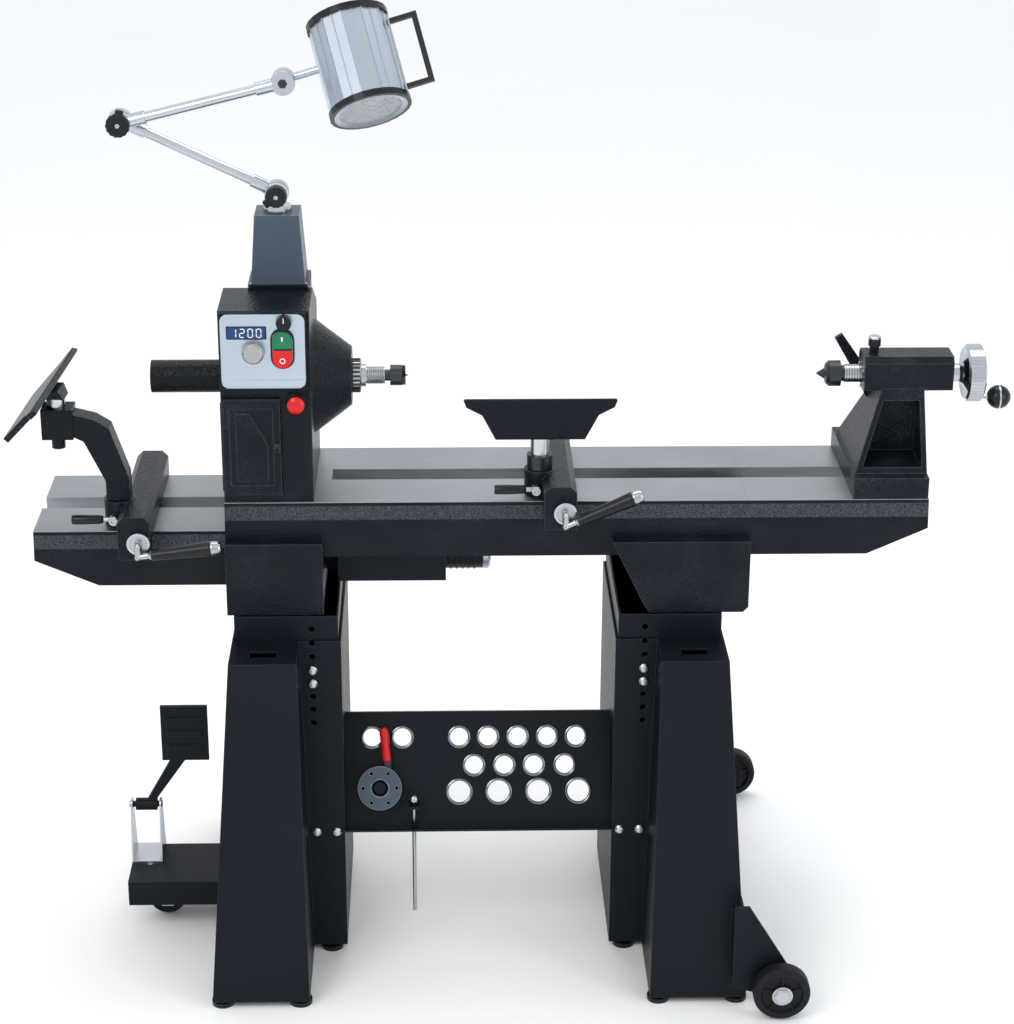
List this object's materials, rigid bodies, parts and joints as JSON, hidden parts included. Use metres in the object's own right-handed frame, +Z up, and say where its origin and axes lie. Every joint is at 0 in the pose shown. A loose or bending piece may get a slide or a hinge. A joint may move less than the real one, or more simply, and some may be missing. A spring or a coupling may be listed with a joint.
{
  "type": "wood lathe",
  "caption": "Floor-standing wood lathe with extended slotted bed, headstock with control panel, tailstock, two tool rests, jointed lamp, and steel stand with tool shelf.",
  "frame": {"origin": "floor level, under the middle of the whole lathe's bounding box", "axes": "+X along the bed from headstock to tailstock, +Y away from the operator, +Z up"},
  "size_m": [1.4859, 0.74, 1.4602],
  "materials": {
    "casting": "textured black hammertone enamel",
    "ground_iron": "ground",
    "black_steel": "satin black",
    "bright_steel": "turned",
    "chrome": "polished",
    "black_plastic": "satin",
    "silver_panel": "satin silver",
    "green_button": "gloss",
    "red_button": "gloss",
    "belt_rubber": "matt",
    "lamp_silver": "satin painted",
    "lamp_glass": "frosted",
    "wheel_plastic": "moulded",
    "zinc": "zinc plated",
    "blue_grey": "satin blue grey"
  },
  "bodies": {
    "stand": {"main_bed": "casting", "right_bed_extension": "casting", "left_bed_extension": "casting", "left_bed_foot": "casting", "right_bed_foot": "casting", "headstock_housing": "casting", "spindle_bearings": "bright_steel", "drive_belt": "belt_rubber", "motor_housing": "black_steel", "control_panel": "silver_panel", "lamp_post": "blue_grey", "height_posts": "black_steel", "left_stand_frame": "black_steel", "right_stand_frame": "black_steel", "tool_shelf": "black_steel", "stand_bolts": "zinc", "levelling_feet": "black_plastic", "pedal_bracket": "black_steel"},
    "spindle": {"spindle": "bright_steel", "drive_centre": "black_steel"},
    "motor_rotor": {"motor_shaft": "bright_steel"},
    "lamp_head": {"lamp_head": "lamp_silver", "lamp_lens": "lamp_glass", "lamp_handle": "black_plastic"},
    "speed_knob": {"speed_knob": "bright_steel"},
    "range_knob": {"range_knob": "black_plastic"},
    "start_button": {"start_button": "green_button"},
    "stop_button": {"stop_button": "red_button"},
    "emergency_stop": {"emergency_stop_button": "red_button"},
    "belt_door": {"belt_door": "casting"},
    "faceplate": {"faceplate": "blue_grey"},
    "knock_out_rod": {"knock_out_rod": "bright_steel"},
    "banjo_clamp_plate": {"banjo_clamp_plate": "casting"},
    "banjo_clamp_bolt": {"banjo_clamp_bolt": "bright_steel"},
    "banjo": {"banjo": "casting"},
    "banjo_lever": {"banjo_lever": "bright_steel"},
    "banjo_lock_handle": {"banjo_lock_handle": "bright_steel"},
    "rest_collar": {"rest_collar": "black_steel"},
    "tool_rest": {"tool_rest": "casting"},
    "outboard_clamp": {"outboard_clamp": "casting"},
    "outboard_banjo": {"outboard_banjo": "casting"},
    "outboard_lever": {"outboard_lever": "bright_steel"},
    "outboard_lock_handle": {"outboard_lock_handle": "bright_steel"},
    "goose_neck": {"goose_neck": "casting"},
    "outboard_tool_rest": {"outboard_tool_rest": "casting"},
    "tailstock": {"tailstock_body": "casting"},
    "tailstock_clamp": {"tailstock_clamp": "casting"},
    "quill": {"quill": "bright_steel"},
    "live_centre": {"live_centre": "black_steel"},
    "quill_handwheel": {"quill_handwheel": "chrome"},
    "handwheel_knob": {"handwheel_knob": "black_plastic"},
    "tailstock_lock_lever": {"tailstock_lock_lever": "casting"},
    "quill_lock_knob": {"quill_lock_knob": "black_plastic"},
    "lamp_swivel": {"lamp_swivel": "chrome"},
    "lamp_lower_arm": {"lamp_lower_arm": "lamp_silver"},
    "lamp_upper_arm": {"lamp_upper_arm": "lamp_silver"},
    "transport_wheels": {"transport_wheels": "wheel_plastic"},
    "caster_fork": {"caster_fork": "zinc"},
    "caster_wheel": {"caster_wheel": "wheel_plastic"},
    "pedal": {"pedal": "black_steel"}
  },
  "joints": [
    {"name": "spindle_turn", "type": "hinge", "parent": "stand", "child": "spindle", "pos_m": [-0.3, 0, 0.905], "axis": [1, 0, 0], "continuous": true},
    {"name": "motor_turn", "type": "hinge", "parent": "stand", "child": "motor_rotor", "pos_m": [-0.2, 0, 0.64], "axis": [1, 0, 0], "continuous": true},
    {"name": "speed_knob_turn", "type": "hinge", "parent": "stand", "child": "speed_knob", "pos_m": [-0.382, -0.118, 0.982], "axis": [0, 1, 0], "range_deg": [-150, 150]},
    {"name": "range_knob_turn", "type": "hinge", "parent": "stand", "child": "range_knob", "pos_m": [-0.337, -0.118, 1.0265], "axis": [0, 1, 0], "range_deg": [-120, 120]},
    {"name": "start_button_press", "type": "slide", "parent": "stand", "child": "start_button", "axis": [0, 1, 0], "range_m": [0, 0.0025], "stiffness_N_per_m": 400},
    {"name": "stop_button_press", "type": "slide", "parent": "stand", "child": "stop_button", "axis": [0, 1, 0], "range_m": [0, 0.0025], "stiffness_N_per_m": 400},
    {"name": "emergency_stop_press", "type": "slide", "parent": "stand", "child": "emergency_stop", "axis": [0, 1, 0], "range_m": [0, 0.0035], "stiffness_N_per_m": 600},
    {"name": "belt_door_swing", "type": "hinge", "parent": "stand", "child": "belt_door", "pos_m": [-0.431, -0.1136, 0.833], "axis": [0, 0, 1], "range_deg": [-110, 0]},
    {"name": "faceplate_lift_off", "type": "slide", "parent": "stand", "child": "faceplate", "axis": [0, -0.915, 0.4035], "range_m": [0, 0.03]},
    {"name": "knock_out_rod_lift", "type": "slide", "parent": "stand", "child": "knock_out_rod", "axis": [0, 0, 1], "range_m": [0, 0.08]},
    {"name": "banjo_clamp_travel", "type": "slide", "parent": "stand", "child": "banjo_clamp_plate", "axis": [1, 0, 0], "range_m": [-0.15, 0.26]},
    {"name": "banjo_swivel", "type": "hinge", "parent": "banjo_clamp_plate", "child": "banjo_clamp_bolt", "pos_m": [0.062, 0, 0.72], "axis": [0, 0, 1], "range_deg": [-15, 15]},
    {"name": "banjo_reach", "type": "slide", "parent": "banjo_clamp_bolt", "child": "banjo", "axis": [0, 1, 0], "range_m": [-0.05, 0]},
    {"name": "banjo_lever_turn", "type": "hinge", "parent": "banjo", "child": "banjo_lever", "pos_m": [0.069, -0.16, 0.747], "axis": [0, 1, 0], "range_deg": [-80, 50]},
    {"name": "banjo_lock_turn", "type": "hinge", "parent": "banjo", "child": "banjo_lock_handle", "pos_m": [0.028, -0.11, 0.7633], "axis": [0, 1, 0], "range_deg": [-8, 45]},
    {"name": "rest_collar_height", "type": "slide", "parent": "banjo", "child": "rest_collar", "axis": [0, 0, 1], "range_m": [0, 0.02]},
    {"name": "tool_rest_turn", "type": "hinge", "parent": "banjo", "child": "tool_rest", "pos_m": [0.034, -0.08, 0.8], "axis": [0, 0, 1], "range_deg": [-90, 90]},
    {"name": "outboard_clamp_travel", "type": "slide", "parent": "stand", "child": "outboard_clamp", "axis": [1, 0, 0], "range_m": [-0.1, 0.05]},
    {"name": "outboard_banjo_reach", "type": "slide", "parent": "outboard_clamp", "child": "outboard_banjo", "axis": [0, 1, 0], "range_m": [-0.05, 0]},
    {"name": "outboard_lever_turn", "type": "hinge", "parent": "outboard_banjo", "child": "outboard_lever", "pos_m": [-0.556, -0.16, 0.703], "axis": [0, 1, 0], "range_deg": [-60, 60]},
    {"name": "outboard_lock_turn", "type": "hinge", "parent": "outboard_banjo", "child": "outboard_lock_handle", "pos_m": [-0.597, -0.11, 0.7193], "axis": [0, 1, 0], "range_deg": [-8, 45]},
    {"name": "goose_neck_turn", "type": "hinge", "parent": "outboard_banjo", "child": "goose_neck", "pos_m": [-0.591, -0.08, 0.72], "axis": [0, 0, 1], "range_deg": [-30, 30]},
    {"name": "outboard_rest_turn", "type": "hinge", "parent": "goose_neck", "child": "outboard_tool_rest", "pos_m": [-0.676, -0.08, 0.87], "axis": [0, 0, 1], "range_deg": [-45, 45]},
    {"name": "tailstock_travel", "type": "slide", "parent": "stand", "child": "tailstock", "axis": [1, 0, 0], "range_m": [-0.27, 0]},
    {"name": "tailstock_clamp_lift", "type": "slide", "parent": "tailstock", "child": "tailstock_clamp", "axis": [0, 0, 1], "range_m": [-0.002, 0]},
    {"name": "tailstock_lock_turn", "type": "hinge", "parent": "tailstock", "child": "tailstock_lock_lever", "pos_m": [0.545, 0.04, 0.868], "axis": [0, 1, 0], "range_deg": [0, 70]},
    {"name": "quill_travel", "type": "slide", "parent": "tailstock", "child": "quill", "axis": [-1, 0, 0], "range_m": [0, 0.095]},
    {"name": "quill_handwheel_turn", "type": "hinge", "parent": "tailstock", "child": "quill_handwheel", "pos_m": [0.67, 0, 0.905], "axis": [-1, 0, 0], "range_deg": [0, 8550]},
    {"name": "handwheel_knob_turn", "type": "hinge", "parent": "quill_handwheel", "child": "handwheel_knob", "pos_m": [0.71, -0.014, 0.871], "axis": [1, 0, 0], "continuous": true},
    {"name": "live_centre_turn", "type": "hinge", "parent": "quill", "child": "live_centre", "pos_m": [0.48, 0, 0.905], "axis": [1, 0, 0], "continuous": true},
    {"name": "quill_lock_turn", "type": "hinge", "parent": "tailstock", "child": "quill_lock_knob", "pos_m": [0.54, 0.01, 0.94], "axis": [0, 0, 1], "range_deg": [0, 180]},
    {"name": "lamp_swivel_turn", "type": "hinge", "parent": "stand", "child": "lamp_swivel", "pos_m": [-0.351, 0.035, 1.15], "axis": [0, 0, 1], "range_deg": [-170, 170]},
    {"name": "lamp_shoulder_bend", "type": "hinge", "parent": "lamp_swivel", "child": "lamp_lower_arm", "pos_m": [-0.351, 0.035, 1.178], "axis": [0, 1, 0], "range_deg": [-20, 25]},
    {"name": "lamp_elbow_bend", "type": "hinge", "parent": "lamp_lower_arm", "child": "lamp_upper_arm", "pos_m": [-0.575, 0.035, 1.284], "axis": [0, 1, 0], "range_deg": [-100, 8]},
    {"name": "lamp_wrist_bend", "type": "hinge", "parent": "lamp_upper_arm", "child": "lamp_head", "pos_m": [-0.337, 0.035, 1.343], "axis": [0, 1, 0], "range_deg": [-80, 20]},
    {"name": "transport_wheels_turn", "type": "hinge", "parent": "stand", "child": "transport_wheels", "pos_m": [0.394, 0, 0.045], "axis": [0, 1, 0], "continuous": true},
    {"name": "caster_swivel", "type": "hinge", "parent": "stand", "child": "caster_fork", "pos_m": [-0.583, -0.028, 0.075], "axis": [0, 0, 1], "continuous": true},
    {"name": "caster_wheel_turn", "type": "hinge", "parent": "caster_fork", "child": "caster_wheel", "pos_m": [-0.557, -0.028, 0.031], "axis": [0, 1, 0], "continuous": true},
    {"name": "pedal_press", "type": "hinge", "parent": "stand", "child": "pedal", "pos_m": [-0.588, 0, 0.182], "axis": [1, 0, 0], "range_deg": [0, 70]}
  ],
  "couplings": [
    {"joint": "motor_turn", "follows": "spindle_turn", "ratio": 1.5},
    {"joint": "quill_travel", "follows": "quill_handwheel_turn", "m_per_rad": 0.0006366},
    {"joint": "tailstock_clamp_lift", "follows": "tailstock_lock_turn", "m_per_rad": -0.00163}
  ]
}
